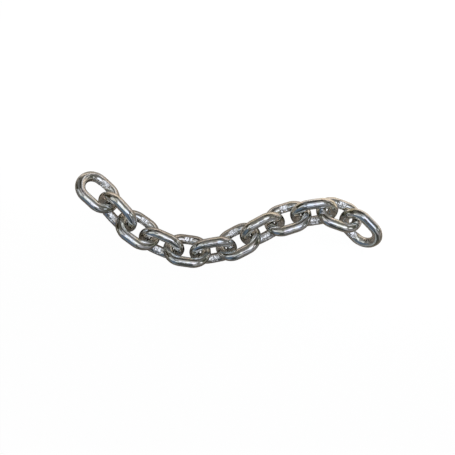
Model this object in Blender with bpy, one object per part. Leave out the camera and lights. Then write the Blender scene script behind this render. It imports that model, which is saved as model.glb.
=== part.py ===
"""A short run of polished steel chain: twelve round links lying in a loose S on a level floor.

Each link is one closed, welded loop of round wire. Every other link leans the other way, so
each one stands on its lower strand and passes through the bows of its two neighbours.
"""

from math import cos, pi, radians, sin

import bpy
import numpy as np
from mathutils import Matrix, Vector

# Driving dimensions, in metres
WIRE_DIAMETER = 0.010
INSIDE_LENGTH = 0.0265
OUTSIDE_WIDTH = 0.0355

# Clearance between the wires of two links, where one pulls on the other
RUNNING_GAP = 0.0003

# Heading of each link seen from above, in degrees anticlockwise from +X
HEADINGS_DEG = [-44, -49, -37, -25, -9, 10, 27, 28, 17, 8, -20, -46]

# Turn of a link about its own length. The first stands it on its left strand, with the
# right one high, and the second does the opposite
LEANS_DEG = [135, 45]

# Lengths that follow from the driving dimensions
WIRE_RADIUS = WIRE_DIAMETER / 2
BOW_RADIUS = (OUTSIDE_WIDTH - WIRE_DIAMETER) / 2
BOW_TOP = (INSIDE_LENGTH + WIRE_DIAMETER) / 2
HALF_STRAIGHT = BOW_TOP - BOW_RADIUS

# Facets along each bow and round the wire
BOW_STEPS = 16
WIRE_FACETS = 16

# Search for the spacing of two links: its limits, its halvings and how finely it sees a bow
SLACKEST_SPACING = 0.9 * INSIDE_LENGTH
TAUTEST_SPACING = 1.1 * INSIDE_LENGTH
SEARCH_HALVINGS = 30
SEARCH_BOW_STEPS = 96

STEEL_COLOUR = (0.62, 0.61, 0.58, 1.0)
STEEL_ROUGHNESS = 0.2


def clear_scene():
    for thing in list(bpy.data.objects):
        bpy.data.objects.remove(thing, do_unlink=True)


def polished_steel():
    material = bpy.data.materials.new("polished_steel")
    material.use_nodes = True
    shader = material.node_tree.nodes["Principled BSDF"]
    shader.inputs["Base Color"].default_value = STEEL_COLOUR
    shader.inputs["Metallic"].default_value = 1.0
    shader.inputs["Roughness"].default_value = STEEL_ROUGHNESS
    return material


def wire_loop(bow_steps):
    """Centre line of a link in its own plane, X along it and Y across it: two half-circle bows."""
    points = []
    for end in (1, -1):
        for step in range(bow_steps + 1):
            angle = pi * step / bow_steps - pi / 2
            along = HALF_STRAIGHT + BOW_RADIUS * cos(angle)
            across = BOW_RADIUS * sin(angle)
            points.append(Vector((end * along, end * across, 0.0)))
    return points


def link_mesh(material):
    """The closed loop of wire that all the links share, from a bevelled curve."""
    curve = bpy.data.curves.new("link_wire", "CURVE")
    curve.dimensions = "3D"
    curve.bevel_depth = WIRE_RADIUS
    # Blender puts two facets round the wire for each step of the resolution, on top of four
    curve.bevel_resolution = (WIRE_FACETS - 4) // 2
    spline = curve.splines.new("POLY")
    points = wire_loop(BOW_STEPS)
    spline.points.add(len(points) - 1)
    for target, point in zip(spline.points, points):
        target.co = (*point, 1.0)
        # Half a facet of tilt gives the leaning link a facet that lies flat on the floor
        target.tilt = pi / WIRE_FACETS
    spline.use_cyclic_u = True
    pattern = bpy.data.objects.new("link_pattern", curve)
    bpy.context.scene.collection.objects.link(pattern)
    depsgraph = bpy.context.evaluated_depsgraph_get()
    mesh = bpy.data.meshes.new_from_object(pattern.evaluated_get(depsgraph))
    bpy.data.objects.remove(pattern, do_unlink=True)
    mesh.name = "link"
    mesh.materials.clear()
    mesh.materials.append(material)
    mesh.shade_smooth()
    return mesh


def link_turns():
    """Rotation of each link: leaned about its own length, then turned to its heading."""
    turns = []
    for index, heading in enumerate(HEADINGS_DEG):
        lean = Matrix.Rotation(radians(LEANS_DEG[index % 2]), 3, "X")
        turns.append(Matrix.Rotation(radians(heading), 3, "Z") @ lean)
    return turns


def fine_loop():
    """The centre line as closely spaced points, along its straight strands as well."""
    corners = [np.array(point) for point in wire_loop(SEARCH_BOW_STEPS)]
    step = pi * BOW_RADIUS / SEARCH_BOW_STEPS
    points = []
    for start, end in zip(corners, corners[1:] + corners[:1]):
        pieces = max(1, round(float(np.linalg.norm(end - start)) / step))
        for piece in range(pieces):
            points.append(start + (end - start) * piece / pieces)
    return np.array(points)


def least_distance(first_wire, second_wire):
    between = first_wire[:, None, :] - second_wire[None, :, :]
    return np.sqrt((between**2).sum(axis=2).min())


def link_centres(turns):
    """Each link is pulled tight on the one before it, in the direction midway between the two."""
    loop = fine_loop()
    wires = [loop @ np.array(turn).T for turn in turns]
    centres = [np.zeros(3)]
    for index in range(1, len(turns)):
        heading = radians((HEADINGS_DEG[index - 1] + HEADINGS_DEG[index]) / 2)
        pull = np.array((cos(heading), sin(heading), 0.0))
        near = SLACKEST_SPACING
        far = TAUTEST_SPACING
        for _ in range(SEARCH_HALVINGS):
            middle = (near + far) / 2
            distance = least_distance(wires[index - 1], wires[index] + middle * pull)
            if distance > WIRE_DIAMETER + RUNNING_GAP:
                near = middle
            else:
                far = middle
        centres.append(centres[-1] + near * pull)
    return centres


def link_placements(mesh):
    """World matrix of each link. The run's box is centred on the origin and stands on the floor."""
    turns = link_turns()
    centres = link_centres(turns)
    corners = np.array([tuple(vertex.co) for vertex in mesh.vertices])
    run = np.vstack([corners @ np.array(turn).T + centre for turn, centre in zip(turns, centres)])
    low = run.min(axis=0)
    high = run.max(axis=0)
    origin = np.array(((low[0] + high[0]) / 2, (low[1] + high[1]) / 2, low[2]))
    placements = []
    for turn, centre in zip(turns, centres):
        placements.append(Matrix.Translation(Vector(centre - origin)) @ turn.to_4x4())
    return placements


def lay_chain(mesh):
    """Each link hangs on a pivot in the top of the bow before it, and swings about the pivot's Y axis."""
    collection = bpy.data.collections.new("steel_chain")
    bpy.context.scene.collection.children.link(collection)
    bow_top = Matrix.Translation(Vector((BOW_TOP, 0.0, 0.0)))
    carrier = None
    carrier_placement = Matrix.Identity(4)
    for number, placement in enumerate(link_placements(mesh), start=1):
        link = bpy.data.objects.new(f"link_{number:02d}", mesh)
        link.parent = carrier
        on_carrier = carrier_placement.inverted() @ placement
        link.location = on_carrier.to_translation()
        link.rotation_euler = on_carrier.to_euler()
        collection.objects.link(link)
        if number == len(HEADINGS_DEG):
            break
        carrier = bpy.data.objects.new(f"pivot_{number + 1:02d}", None)
        carrier.empty_display_size = WIRE_DIAMETER
        carrier.parent = link
        carrier.location = bow_top.to_translation()
        collection.objects.link(carrier)
        carrier_placement = placement @ bow_top


clear_scene()
lay_chain(link_mesh(polished_steel()))
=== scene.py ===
"""The looks of a short run of polished steel chain: twelve welded links of round wire.

Each link of the frame is replaced by a finely modelled one in the same place, with the small
dents of bent wire and a trimmed butt weld in its lower strand.
"""

from math import cos, pi, radians, sin, tau

import bpy
import numpy as np
from mathutils import Matrix, Vector, noise


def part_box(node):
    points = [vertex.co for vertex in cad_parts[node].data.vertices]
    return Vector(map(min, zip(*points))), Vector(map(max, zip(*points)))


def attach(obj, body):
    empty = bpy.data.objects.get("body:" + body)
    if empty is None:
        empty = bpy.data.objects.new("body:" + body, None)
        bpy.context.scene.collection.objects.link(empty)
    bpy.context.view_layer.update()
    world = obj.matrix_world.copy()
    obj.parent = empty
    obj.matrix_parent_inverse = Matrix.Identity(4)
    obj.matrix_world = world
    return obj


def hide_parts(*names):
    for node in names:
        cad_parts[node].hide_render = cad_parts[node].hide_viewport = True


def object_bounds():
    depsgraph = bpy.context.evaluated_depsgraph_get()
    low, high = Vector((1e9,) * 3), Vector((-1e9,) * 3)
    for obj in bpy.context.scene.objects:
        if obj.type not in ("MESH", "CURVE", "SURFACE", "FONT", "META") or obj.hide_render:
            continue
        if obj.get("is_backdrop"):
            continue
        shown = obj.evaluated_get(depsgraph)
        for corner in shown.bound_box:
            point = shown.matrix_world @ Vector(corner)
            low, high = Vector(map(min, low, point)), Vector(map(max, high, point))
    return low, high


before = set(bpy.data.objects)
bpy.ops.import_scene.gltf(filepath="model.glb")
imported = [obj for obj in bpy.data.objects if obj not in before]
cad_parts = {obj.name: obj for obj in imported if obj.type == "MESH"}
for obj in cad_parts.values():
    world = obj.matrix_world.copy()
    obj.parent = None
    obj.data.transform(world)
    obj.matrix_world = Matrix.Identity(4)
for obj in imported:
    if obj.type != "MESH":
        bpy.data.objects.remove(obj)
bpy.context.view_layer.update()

# The link's driving dimensions, the same as the construction's, in metres
WIRE_DIAMETER = 0.010
INSIDE_LENGTH = 0.0265
OUTSIDE_WIDTH = 0.0355

WIRE_RADIUS = WIRE_DIAMETER / 2
BOW_RADIUS = (OUTSIDE_WIDTH - WIRE_DIAMETER) / 2
HALF_STRAIGHT = (INSIDE_LENGTH + WIRE_DIAMETER) / 2 - BOW_RADIUS

# How finely a link is modelled
SIDES = 96
WELD_STEP = 0.00022
STRAND_STEP = 0.0004
BOW_STEPS = 96

# Dents of the wire: their size and their depth, in metres
DENTS = [(0.0075, 0.00012), (0.0032, 0.00007)]

# How far noise, which runs from -1 to 1, is lowered so that it cuts more into the wire than it adds
NOISE_LOWERED = 0.5

# Shallow waves left by drawing the wire, and deeper ones where it is bent: how long they are,
# their width round it and their depths
WAVE_LENGTH = 0.014
WAVE_WIDTH = 0.0026
WAVE_DEPTH = 0.00006
BOW_WAVE_DEPTH = 0.00028

# The butt weld, trimmed inside the link by a tool that leaves the inner two of four flats: how
# much of its length has its full height, how much of its swelling is left, how rough its outer
# side is against its inner one, its lumps, and ridges that run round the wire
WELD_HALF_LENGTH = 0.0058
WELD_CREST = 0.4
WELD_FLATS = 4
FLATNESS = 0.6
SWELLING = 0.3
OUTER_ROUGHNESS = 0.3
WELD_LUMP_SIZE = 0.0024
WELD_LUMP_HEIGHT = 0.00018
FINE_LUMP_SHARE = 0.5
FINE_LUMPS_PER_LUMP = 2.1
RIDGE_WIDTH = 0.0011
RIDGE_LENGTH = 0.0040
RIDGE_HEIGHT = 0.00020

# Where a part of the wire begins and where it is reached in full. Round the wire the value is the
# cosine of the turn from the link's outer side, which the first three take with its sign turned.
# Along the wire it is the sine of the bow's turn from the strand, 0 at its start and 1 at its top
FLATS_EDGE = (0.0, 0.3)
ROUGH_EDGE = (-0.3, 0.3)
BOW_INSIDE_EDGE = (-0.5, 0.5)
BOW_OUTSIDE_EDGE = (-0.1, 0.7)
BOW_EDGE = (0.1, 0.6)
BOW_TOP_EDGE = (0.4, 0.9)

# The camera's place over the run
CAMERA_TARGET = Vector((-0.0022, -0.0089, 0.0137))
CAMERA_LEAN = radians(8.9)
CAMERA_ROLL = radians(-0.65)
CAMERA_DISTANCE = 0.6
CAMERA_LENS = 49.7

# Step of the noise from one link to the next, so that no two are alike, and the metres by which
# the grain of its finish is shifted for each unit of that
LINK_SEED = Vector((13.7, 29.1, 5.3))
GRAIN_SHIFT = 0.01

# A colour mix has sockets of the same names for its other kinds, so its own are found by place
MIX_UNDER = 6
MIX_OVER = 7
MIX_RESULT = 2

# Colours of the steel
CLEAN_STEEL = (0.95, 0.935, 0.905)
COOL_STEEL = (0.77, 0.85, 0.95)
OLIVE_FILM = (0.85, 0.84, 0.67)
ROSE_FILM = (0.98, 0.83, 0.84)
RUBBED_STEEL = (0.98, 0.98, 0.96)
# Grime, which inside the bows also stands as painted shade in the crevices between links
GRIME_AND_PAINTED_SHADE = (0.60, 0.58, 0.44)
# Dark olive bending marks, which on the bows' outer tops also stand as a painted reflection of the
# shaded floor and neighbouring links
BENDING_MARK_AND_PAINTED_REFLECTION = (0.25, 0.25, 0.16)
WELD_STEEL = (1.0, 0.99, 0.98)
WELD_SCALE = (0.34, 0.31, 0.27)
HEAT_TINT = (0.70, 0.58, 0.46)

# Shares with which each colour is laid over those under it, where it lies at all
COOL_SHARE = 0.75
OLIVE_SHARE = 0.6
ROSE_SHARE = 0.55
# The grime's share, with which it also paints shade inside the bows
GRIME_AND_PAINTED_SHADE_SHARE = 0.2
# Bending marks over the whole bow and its outer top, where they also paint a reflection of shade
BOW_MARKS_AND_PAINTED_REFLECTION_SHARE = 0.25
OUTER_MARKS_AND_PAINTED_REFLECTION_SHARE = 0.6
HEAT_TINT_SHARE = 0.4
WELD_STEEL_SHARE = 0.9
WELD_SCALE_SHARE = 0.75

# How much dirt, with its painted shade, is held where an olive film lies inside a bow
DIRT_AND_PAINTED_SHADE_HELD = 0.7

# Lines in the wire: their length along it and their width round it in metres, and their detail
DRAWING_LINES = {"Along": 0.012, "Around": 0.0003, "Detail": 2.0}
TURNING_LINES = {"Along": 0.00035, "Around": 0.004, "Detail": 2.0}
# Lines of the bending marks, which also pattern a painted reflection of shade on the bows
BENDING_AND_PAINTED_REFLECTION_LINES = {"Along": 0.008, "Around": 0.0014, "Detail": 1.5}

# Blotches: their size in metres, how much of the steel they cover, and how soft their edge is
COOL_BLOTCHES = {"Size": 0.016, "Cover": 0.48, "Edge": 0.10}
OLIVE_BLOTCHES = {"Size": 0.009, "Cover": 0.45, "Edge": 0.10}
ROSE_BLOTCHES = {"Size": 0.0065, "Cover": 0.40, "Edge": 0.08}
DULL_BLOTCHES = {"Size": 0.0045, "Cover": 0.45, "Edge": 0.12}
SPECKLES = {"Size": 0.0012, "Cover": 0.38, "Edge": 0.05}
BLOTCH_DETAIL = 3.0
BLOTCH_ROUGHNESS = 0.6

# The stretch of a grain's value in which bending marks, with their painted reflection of shade, and
# scale streaks go from none to full
BENDING_MARK_AND_PAINTED_REFLECTION_EDGE = (0.50, 0.58)
SCALE_STREAK_EDGE = (0.50, 0.62)

# The share of the weld at which its heat tint is strongest; it fades to the weld and to the wire
HEAT_TINT_PEAK = 0.5

# Roughness of the steel where its drawing lines are weakest and strongest, and what the rest adds
DRAWING_LINE_EDGE = (0.3, 0.7)
SMOOTHEST = 0.05
ROUGHEST = 0.10
DULL_ROUGHNESS = 0.06
DIRT_ROUGHNESS = 0.06
WELD_ROUGHNESS = 0.08

# Heights of the marks against each other, and the height that 1 of them stands for, in metres
DRAWING_LINE_HEIGHT = 0.25
SPECKLE_HEIGHT = -1.0
BENDING_MARK_HEIGHT = -0.5
TURNING_LINE_HEIGHT = 1.2
MARK_HEIGHT = 0.00002

# What the steel mirrors. Each patch has its compass direction from +X, its angle from the
# zenith, its inner and outer radius in degrees, and its colour; later ones lie over earlier ones
STUDIO_SKY = (0.145, 0.14, 0.13)
STUDIO_PATCHES = [
    (14, 104, 19, 29, (0.40, 0.35, 0.29)),
    (45, 98, 18, 26, (0.44, 0.40, 0.37)),
    (95, 104, 14, 19, (0.34, 0.30, 0.26)),
    (135, 100, 15, 22, (0.33, 0.29, 0.245)),
    (325, 88, 17, 27, (0.30, 0.28, 0.26)),
    (315, 64, 14, 22, (0.19, 0.195, 0.21)),
    (150, 67, 14, 26, (0.03, 0.026, 0.014)),
    (85, 62, 10, 22, (0.045, 0.04, 0.034)),
    (8, 60, 10, 23, (0.07, 0.075, 0.06)),
    (262, 58, 15, 28, (0.04, 0.047, 0.047)),
    (222, 56, 15, 25, (0.10, 0.14, 0.195)),
    (245, 88, 5, 13, (0.30, 0.33, 0.34)),
    (295, 38, 10, 18, (0.37, 0.38, 0.41)),
    (75, 28, 10, 22, (0.46, 0.465, 0.47)),
    (165, 37, 14, 21, (0.58, 0.60, 0.61)),
    (6, 12, 13, 21, (1.05, 1.11, 1.24)),
    (215, 16, 4, 11, (0.90, 1.0, 1.12)),
    (268, 20, 4, 12, (0.06, 0.06, 0.07)),
    (45, 84, 7, 12, (0.74, 0.73, 0.74)),
    (352, 50, 3, 8, (1.10, 1.12, 1.12)),
    (184, 47, 3, 8, (0.95, 0.98, 1.00)),
    (15, 78, 3, 7, (0.90, 0.88, 0.85)),
    (176, 76, 3, 7, (0.80, 0.80, 0.78)),
]

# Backdrop and floor as the camera sees them, and the floor as the steel mirrors it
BACKDROP = (1.0, 1.0, 1.0)
FLOOR_OWN_LIGHT = 0.935
FLOOR_SHADE = (0.05, 0.05, 0.05)
MIRRORED_FLOOR = (0.305, 0.262, 0.22)
FLOOR_SIZE = 12.0

# Stops by which the whole picture is brightened
EXPOSURE = 0.06

# Low lamps to the north and the east of the run, which the steel doesn't mirror: their place and power
LAMPS = [((0.0, 0.12, 0.07), 0.48), ((0.26, 0.04, 0.07), 0.34)]
LAMP_SIZE = (0.36, 0.05)


# Shapes

def smooth_step(low, high, value):
    share = min(1.0, max(0.0, (value - low) / (high - low)))
    return share * share * (3 - 2 * share)


def wire_stations():
    """Rings of a link, from the weld round to the weld: the middle of their bend along X, their
    outward direction in the link's plane, and their distance along the wire."""
    stations = []
    travelled = 0.0

    def straight(start, end, facing, step):
        nonlocal travelled
        pieces = max(1, round(abs(end - start) / step))
        for piece in range(pieces):
            stations.append((start + (end - start) * piece / pieces, facing, travelled))
            travelled += abs(end - start) / pieces

    def bow(middle, facing):
        nonlocal travelled
        for step in range(BOW_STEPS):
            stations.append((middle, facing + pi * step / BOW_STEPS, travelled))
            travelled += pi * BOW_RADIUS / BOW_STEPS

    straight(0.0, HALF_STRAIGHT, -pi / 2, WELD_STEP)
    bow(HALF_STRAIGHT, -pi / 2)
    straight(HALF_STRAIGHT, -HALF_STRAIGHT, pi / 2, STRAND_STEP)
    bow(-HALF_STRAIGHT, pi / 2)
    straight(-HALF_STRAIGHT, 0.0, 3 * pi / 2, WELD_STEP)
    return stations, travelled


def weld_share(along):
    """1 in the middle of the weld, falling to 0 at its ends."""
    return 1 - smooth_step(WELD_CREST * WELD_HALF_LENGTH, WELD_HALF_LENGTH, abs(along))


def flat_relief(turn):
    """How far a flat lies under the round of the wire, which the outer side of the link keeps."""
    half_flat = pi / WELD_FLATS
    from_middle = turn % (2 * half_flat) - half_flat
    inner_side = smooth_step(*FLATS_EDGE, -cos(turn))
    return inner_side * FLATNESS * WIRE_RADIUS * (cos(half_flat) / cos(from_middle) - 1)


def weld_relief(point, along, turn, ring, seed):
    """What trimming leaves of a butt weld."""
    place = point / WELD_LUMP_SIZE + seed
    lumps = noise.noise(place) + FINE_LUMP_SHARE * noise.noise(place * FINE_LUMPS_PER_LUMP)
    ridge_place = Vector((along / RIDGE_WIDTH, ring.x / RIDGE_LENGTH, ring.y / RIDGE_LENGTH))
    ridges = noise.noise(ridge_place + seed)
    swell = SWELLING * FLATNESS * WIRE_RADIUS * (1 - cos(pi / WELD_FLATS))
    roughness = OUTER_ROUGHNESS + (1 - OUTER_ROUGHNESS) * smooth_step(*ROUGH_EDGE, -cos(turn))
    rough = swell + WELD_LUMP_HEIGHT * lumps + RIDGE_HEIGHT * ridges
    return roughness * rough + flat_relief(turn)


def wire_relief(point, core, ring, bow, seed):
    """Shallow dents that bending and tumbling leave in the wire, and the waves from its drawing."""
    relief = 0.0
    for size, depth in DENTS:
        relief += depth * (noise.noise(point / size + seed) - NOISE_LOWERED)
    # A run along the wire that closes on itself
    run = core.x + core.y / 2
    wave_place = Vector((run / WAVE_LENGTH, ring.x / WAVE_WIDTH, ring.y / WAVE_WIDTH))
    wave_depth = WAVE_DEPTH + (BOW_WAVE_DEPTH - WAVE_DEPTH) * bow
    return relief + wave_depth * (noise.noise(wave_place + seed) - NOISE_LOWERED)


def link_surface(seed):
    """Vertices of one link, ring by ring, with the values that its finish reads."""
    stations, length = wire_stations()
    vertices = []
    values = {"weld": [], "bow": [], "bow_inside": [], "bow_outside": [], "core": [], "ring": []}
    for middle, facing, travelled in stations:
        along = travelled if travelled < length / 2 else travelled - length
        weld = weld_share(along)
        outward = Vector((cos(facing), sin(facing), 0.0))
        core = Vector((middle, 0.0, 0.0)) + BOW_RADIUS * outward
        bow = smooth_step(*BOW_EDGE, abs(outward.x))
        bow_top = smooth_step(*BOW_TOP_EDGE, abs(outward.x))
        for side in range(SIDES):
            turn = tau * side / SIDES
            direction = outward * cos(turn) + Vector((0.0, 0.0, sin(turn)))
            ring = WIRE_RADIUS * Vector((cos(turn), sin(turn), 0.0))
            point = core + WIRE_RADIUS * direction
            relief = wire_relief(point, core, ring, bow, seed)
            if weld > 0:
                relief += weld * weld_relief(point, along, turn, ring, seed)
            vertices.append(point + relief * direction)
            values["weld"].append(weld)
            values["bow"].append(bow)
            values["bow_inside"].append(bow * smooth_step(*BOW_INSIDE_EDGE, -cos(turn)))
            values["bow_outside"].append(bow_top * smooth_step(*BOW_OUTSIDE_EDGE, cos(turn)))
            values["core"].append(core + GRAIN_SHIFT * seed)
            values["ring"].append(ring)
    return vertices, values


def tube_faces(ring_count):
    """Quads of a closed tube of rings, with their outer sides out."""
    faces = []
    for ring in range(ring_count):
        following = (ring + 1) % ring_count
        for side in range(SIDES):
            beside = (side + 1) % SIDES
            faces.append(
                (
                    ring * SIDES + side,
                    following * SIDES + side,
                    following * SIDES + beside,
                    ring * SIDES + beside,
                )
            )
    return faces


def add_point_values(mesh, name, values):
    kind = "FLOAT_VECTOR" if isinstance(values[0], Vector) else "FLOAT"
    field = "vector" if kind == "FLOAT_VECTOR" else "value"
    attribute = mesh.attributes.new(name, kind, "POINT")
    attribute.data.foreach_set(field, np.array(values, np.float32).ravel())


def fine_link(name, seat, seed, material):
    """One link, made with X along it and Y from its welded strand to the other, then seated."""
    vertices, values = link_surface(seed)
    mesh = bpy.data.meshes.new(name)
    mesh.from_pydata(vertices, [], tube_faces(len(vertices) // SIDES))
    for value_name, point_values in values.items():
        add_point_values(mesh, value_name, point_values)
    mesh.transform(seat)
    mesh.materials.append(material)
    mesh.shade_smooth()
    link = bpy.data.objects.new(name, mesh)
    bpy.context.scene.collection.objects.link(link)
    return link


def link_seat(node_name):
    """Where a link of the frame lies: its middle, its length, and its width from low to high strand."""
    low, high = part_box(node_name)
    middle = (low + high) / 2
    corners = np.array([tuple(vertex.co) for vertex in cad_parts[node_name].data.vertices])
    _, _, axes = np.linalg.svd(corners - np.array(middle), full_matrices=False)
    along = Vector(axes[0])
    along *= 1 if along.x > 0 else -1
    across = Vector(axes[1])
    across *= 1 if across.z > 0 else -1
    flat = along.cross(across)
    seat = Matrix((along, across, flat)).transposed().to_4x4()
    seat.translation = middle
    return seat


def lay_links(material):
    for number, node_name in enumerate(sorted(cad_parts), start=1):
        seed = LINK_SEED * number
        link = fine_link(f"welded_{node_name}", link_seat(node_name), seed, material)
        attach(link, node_name)
        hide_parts(node_name)


# Materials

def feed(tree, socket, value):
    """Put a value on a socket, or link to it the socket that gives the value."""
    if isinstance(value, bpy.types.NodeSocket):
        tree.links.new(value, socket)
    else:
        socket.default_value = value


def add_node(tree, kind, settings=None, **values):
    """A node with its settings, and a value or an incoming link on each named input."""
    node = tree.nodes.new(kind)
    for name, setting in (settings or {}).items():
        setattr(node, name, setting)
    for name, value in values.items():
        feed(tree, node.inputs[name.replace("_", " ")], value)
    return node


def reckon(tree, operation, first, second):
    """The result of one step of arithmetic on two values or links."""
    node = add_node(tree, "ShaderNodeMath", {"operation": operation})
    feed(tree, node.inputs[0], first)
    feed(tree, node.inputs[1], second)
    return node.outputs["Value"]


def new_group(name, inputs, outputs):
    """An empty shader group with its named inputs (their defaults) and outputs (their kinds)."""
    group = bpy.data.node_groups.new(name, "ShaderNodeTree")
    for socket_name, default in inputs.items():
        kind = "NodeSocketFloat" if isinstance(default, float) else "NodeSocketColor"
        if isinstance(default, Vector):
            kind = "NodeSocketVector"
        socket = group.interface.new_socket(socket_name, in_out="INPUT", socket_type=kind)
        socket.default_value = default
    for socket_name, kind in outputs.items():
        group.interface.new_socket(socket_name, in_out="OUTPUT", socket_type=kind)
    given = group.nodes.new("NodeGroupInput")
    made = group.nodes.new("NodeGroupOutput")
    return group, given.outputs, made.inputs


def wire_grain_group():
    """Grain that follows the wire round its bends, with its own size along and round the wire."""
    group, given, made = new_group(
        "wire_grain", {"Along": 0.01, "Around": 0.001, "Detail": 2.0}, {"Value": "NodeSocketFloat"}
    )
    core = add_node(group, "ShaderNodeAttribute", {"attribute_name": "core"})
    ring = add_node(group, "ShaderNodeAttribute", {"attribute_name": "ring"})
    places = []
    for vector, size in ((core, "Along"), (ring, "Around")):
        scaled = add_node(
            group,
            "ShaderNodeVectorMath",
            {"operation": "SCALE"},
            Vector=vector.outputs["Vector"],
            Scale=reckon(group, "DIVIDE", 1.0, given[size]),
        )
        places.append(add_node(group, "ShaderNodeSeparateXYZ", Vector=scaled.outputs["Vector"]).outputs)
    place = add_node(
        group, "ShaderNodeCombineXYZ", X=places[0]["X"], Y=places[0]["Y"], Z=places[1]["X"]
    )
    grain = add_node(
        group,
        "ShaderNodeTexNoise",
        {"noise_dimensions": "4D"},
        Vector=place.outputs["Vector"],
        W=places[1]["Y"],
        Scale=1.0,
        Detail=given["Detail"],
    )
    group.links.new(grain.outputs["Fac"], made["Value"])
    return group


def blotch_group():
    """Soft-edged blotches over the surface: their size, how much they cover and their edge."""
    group, given, made = new_group(
        "blotches", {"Size": 0.01, "Cover": 0.5, "Edge": 0.1}, {"Value": "NodeSocketFloat"}
    )
    place = add_node(group, "ShaderNodeTexCoord")
    grain = add_node(
        group,
        "ShaderNodeTexNoise",
        Vector=place.outputs["Object"],
        Scale=reckon(group, "DIVIDE", 1.0, given["Size"]),
        Detail=BLOTCH_DETAIL,
        Roughness=BLOTCH_ROUGHNESS,
    )
    bare = reckon(group, "SUBTRACT", 1.0, given["Cover"])
    mask = add_node(
        group,
        "ShaderNodeMapRange",
        {"interpolation_type": "SMOOTHSTEP"},
        Value=grain.outputs["Fac"],
        From_Min=reckon(group, "SUBTRACT", bare, given["Edge"]),
        From_Max=reckon(group, "ADD", bare, given["Edge"]),
    )
    group.links.new(mask.outputs["Result"], made["Value"])
    return group


def place_group(tree, group, **values):
    return add_node(tree, "ShaderNodeGroup", {"node_tree": group}, **values).outputs[0]


def product(tree, first, second):
    return reckon(tree, "MULTIPLY", first, second)


def total(tree, *values):
    result = values[0]
    for value in values[1:]:
        result = reckon(tree, "ADD", result, value)
    return result


def opaque(colour):
    """A colour with its fourth value, or the socket that gives one."""
    return colour if isinstance(colour, bpy.types.NodeSocket) else (*colour, 1.0)


def tinted(tree, under, colour, share):
    """A colour laid over another, by its share."""
    mix = tree.nodes.new("ShaderNodeMix")
    mix.data_type = "RGBA"
    tree.links.new(share, mix.inputs["Factor"])
    feed(tree, mix.inputs[MIX_UNDER], opaque(under))
    feed(tree, mix.inputs[MIX_OVER], opaque(colour))
    return mix.outputs[MIX_RESULT]


def between(tree, value, low, high, to_low=0.0, to_high=1.0):
    """A value stretched from its own limits to others."""
    node = add_node(
        tree,
        "ShaderNodeMapRange",
        Value=value,
        From_Min=low,
        From_Max=high,
        To_Min=to_low,
        To_Max=to_high,
    )
    return node.outputs["Result"]


def point_value(tree, name):
    return add_node(tree, "ShaderNodeAttribute", {"attribute_name": name}).outputs["Fac"]


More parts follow.
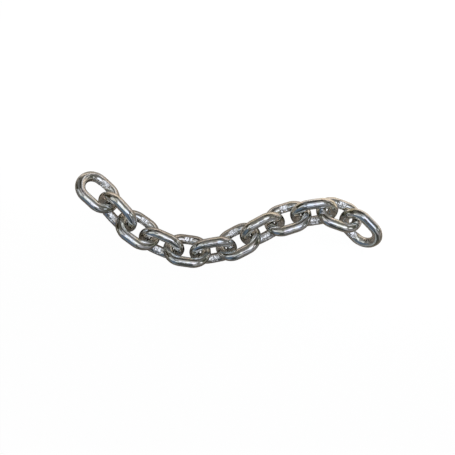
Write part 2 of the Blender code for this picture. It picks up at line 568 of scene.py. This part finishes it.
def polished_steel(grain_group, blotches):
    """Tumbled and polished steel wire, with a thin film of handling and grime inside the bows, which
    also paints shade in their crevices, and bending marks that also paint a reflection of shade on the
    bows' outer tops.
    """
    material = bpy.data.materials.new("polished_steel")
    material.use_nodes = True
    tree = material.node_tree
    shader = tree.nodes["Principled BSDF"]
    weld = point_value(tree, "weld")
    bow = point_value(tree, "bow")
    inside = point_value(tree, "bow_inside")
    outside = point_value(tree, "bow_outside")

    drawing_lines = place_group(tree, grain_group, **DRAWING_LINES)
    turning_lines = place_group(tree, grain_group, **TURNING_LINES)
    bending_and_painted_reflection_lines = place_group(tree, grain_group, **BENDING_AND_PAINTED_REFLECTION_LINES)
    cool = place_group(tree, blotches, **COOL_BLOTCHES)
    olive = place_group(tree, blotches, **OLIVE_BLOTCHES)
    rose = place_group(tree, blotches, **ROSE_BLOTCHES)
    dull = place_group(tree, blotches, **DULL_BLOTCHES)
    speckle = place_group(tree, blotches, **SPECKLES)

    colour = tinted(tree, CLEAN_STEEL, COOL_STEEL, product(tree, cool, COOL_SHARE))
    colour = tinted(tree, colour, OLIVE_FILM, product(tree, olive, OLIVE_SHARE))
    colour = tinted(tree, colour, ROSE_FILM, product(tree, rose, ROSE_SHARE))
    colour = tinted(tree, colour, RUBBED_STEEL, inside)
    # Grime inside the bows, which also paints shade in the crevices between links
    dirt_and_painted_shade = product(tree, inside, product(tree, olive, DIRT_AND_PAINTED_SHADE_HELD))
    colour = tinted(tree, colour, GRIME_AND_PAINTED_SHADE, product(tree, dirt_and_painted_shade, GRIME_AND_PAINTED_SHADE_SHARE))
    # Bending marks over the bows, darkest on their outer tops, which also paint a reflection of the
    # shaded floor there
    marks_and_painted_reflection_places = total(
        tree, product(tree, bow, BOW_MARKS_AND_PAINTED_REFLECTION_SHARE), product(tree, outside, OUTER_MARKS_AND_PAINTED_REFLECTION_SHARE)
    )
    bending_marks_and_painted_reflection = product(tree, between(tree, bending_and_painted_reflection_lines, *BENDING_MARK_AND_PAINTED_REFLECTION_EDGE), marks_and_painted_reflection_places)
    colour = tinted(tree, colour, BENDING_MARK_AND_PAINTED_REFLECTION, bending_marks_and_painted_reflection)
    onto_weld = between(tree, weld, 0.0, HEAT_TINT_PEAK)
    off_weld = between(tree, weld, 1.0, HEAT_TINT_PEAK)
    weld_edge = product(tree, onto_weld, off_weld)
    colour = tinted(tree, colour, HEAT_TINT, product(tree, weld_edge, HEAT_TINT_SHARE))
    colour = tinted(tree, colour, WELD_STEEL, product(tree, weld, WELD_STEEL_SHARE))
    scale_streaks = product(tree, between(tree, turning_lines, *SCALE_STREAK_EDGE), weld)
    colour = tinted(tree, colour, WELD_SCALE, product(tree, scale_streaks, WELD_SCALE_SHARE))
    tree.links.new(colour, shader.inputs["Base Color"])

    roughness = total(
        tree,
        between(tree, drawing_lines, *DRAWING_LINE_EDGE, SMOOTHEST, ROUGHEST),
        product(tree, dull, DULL_ROUGHNESS),
        product(tree, dirt_and_painted_shade, DIRT_ROUGHNESS),
        product(tree, weld, WELD_ROUGHNESS),
    )
    tree.links.new(roughness, shader.inputs["Roughness"])
    shader.inputs["Metallic"].default_value = 1.0

    height = total(
        tree,
        product(tree, drawing_lines, DRAWING_LINE_HEIGHT),
        product(tree, speckle, SPECKLE_HEIGHT),
        product(tree, bending_marks_and_painted_reflection, BENDING_MARK_HEIGHT),
        product(tree, product(tree, turning_lines, weld), TURNING_LINE_HEIGHT),
    )
    relief = add_node(tree, "ShaderNodeBump", Height=height, Distance=MARK_HEIGHT, Strength=1.0)
    tree.links.new(relief.outputs["Normal"], shader.inputs["Normal"])
    return material


def pale_floor():
    """White with only a breath of shadow to the camera, and warm paper to the steel above it."""
    material = bpy.data.materials.new("pale_floor")
    material.use_nodes = True
    tree = material.node_tree
    shader = tree.nodes["Principled BSDF"]
    rays = add_node(tree, "ShaderNodeLightPath")
    seen = rays.outputs["Is Camera Ray"]
    colour = tinted(tree, MIRRORED_FLOOR, FLOOR_SHADE, seen)
    tree.links.new(colour, shader.inputs["Base Color"])
    tree.links.new(product(tree, seen, FLOOR_OWN_LIGHT), shader.inputs["Emission Strength"])
    shader.inputs["Emission Color"].default_value = (1.0, 1.0, 1.0, 1.0)
    shader.inputs["Roughness"].default_value = 1.0
    shader.inputs["Specular IOR Level"].default_value = 0.0
    return material


# The studio

def lay_floor(material):
    low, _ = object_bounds()
    bpy.ops.mesh.primitive_plane_add(size=FLOOR_SIZE, location=(0.0, 0.0, low[2]))
    floor = bpy.context.object
    floor.name = "floor"
    floor.data.materials.append(material)
    floor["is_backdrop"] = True


def soft_patch_group():
    """A round patch of light on the studio's surroundings, laid over what is under it."""
    group, given, made = new_group(
        "soft_patch",
        {
            "Under": (0.0, 0.0, 0.0, 1.0),
            "Direction": Vector((0.0, 0.0, 1.0)),
            "Centre": Vector((0.0, 0.0, 1.0)),
            "Outer Cosine": 0.5,
            "Inner Cosine": 0.9,
            "Colour": (1.0, 1.0, 1.0, 1.0),
        },
        {"Result": "NodeSocketColor"},
    )
    facing = add_node(group, "ShaderNodeVectorMath", {"operation": "DOT_PRODUCT"})
    group.links.new(given["Direction"], facing.inputs[0])
    group.links.new(given["Centre"], facing.inputs[1])
    share = add_node(
        group,
        "ShaderNodeMapRange",
        {"interpolation_type": "SMOOTHSTEP"},
        Value=facing.outputs["Value"],
        From_Min=given["Outer Cosine"],
        From_Max=given["Inner Cosine"],
    )
    result = tinted(group, given["Under"], given["Colour"], share.outputs["Result"])
    group.links.new(result, made["Result"])
    return group


def studio_world():
    """Soft surroundings for the steel to mirror, and a plain pale backdrop for the camera."""
    world = bpy.data.worlds.new("studio")
    world.use_nodes = True
    tree = world.node_tree
    place = add_node(tree, "ShaderNodeTexCoord")
    direction = add_node(tree, "ShaderNodeVectorMath", {"operation": "NORMALIZE"})
    tree.links.new(place.outputs["Generated"], direction.inputs[0])
    group = soft_patch_group()
    under = opaque(STUDIO_SKY)
    for compass, from_zenith, inner, outer, colour in STUDIO_PATCHES:
        flat = sin(radians(from_zenith))
        east = flat * cos(radians(compass))
        north = flat * sin(radians(compass))
        under = place_group(
            tree,
            group,
            Under=under,
            Direction=direction.outputs["Vector"],
            Centre=(east, north, cos(radians(from_zenith))),
            Inner_Cosine=cos(radians(inner)),
            Outer_Cosine=cos(radians(outer)),
            Colour=opaque(colour),
        )
    rays = add_node(tree, "ShaderNodeLightPath")
    seen = tinted(tree, under, BACKDROP, rays.outputs["Is Camera Ray"])
    tree.links.new(seen, tree.nodes["Background"].inputs["Color"])
    bpy.context.scene.world = world


def low_lamps():
    """Light the floor that the steel mirrors, brighter on their own side and in shade beyond."""
    for place, power in LAMPS:
        light = bpy.data.lights.new("low_lamp", "AREA")
        light.shape = "RECTANGLE"
        light.size, light.size_y = LAMP_SIZE
        light.energy = power
        lamp = bpy.data.objects.new("low_lamp", light)
        lamp.location = place
        lamp.visible_glossy = False
        lamp.visible_camera = False
        bpy.context.scene.collection.objects.link(lamp)


def place_camera():
    lens = bpy.data.cameras.new("camera")
    lens.lens = CAMERA_LENS
    camera = bpy.data.objects.new("camera", lens)
    back = Vector((0.0, sin(CAMERA_LEAN), cos(CAMERA_LEAN)))
    turn = Matrix.Rotation(-CAMERA_LEAN, 4, "X") @ Matrix.Rotation(CAMERA_ROLL, 4, "Z")
    camera.matrix_world = Matrix.Translation(CAMERA_TARGET + CAMERA_DISTANCE * back) @ turn
    bpy.context.scene.collection.objects.link(camera)
    bpy.context.scene.camera = camera


place_camera()
lay_links(polished_steel(wire_grain_group(), blotch_group()))
lay_floor(pale_floor())
low_lamps()
studio_world()
bpy.context.scene.view_settings.view_transform = "Standard"
bpy.context.scene.view_settings.exposure = EXPOSURE
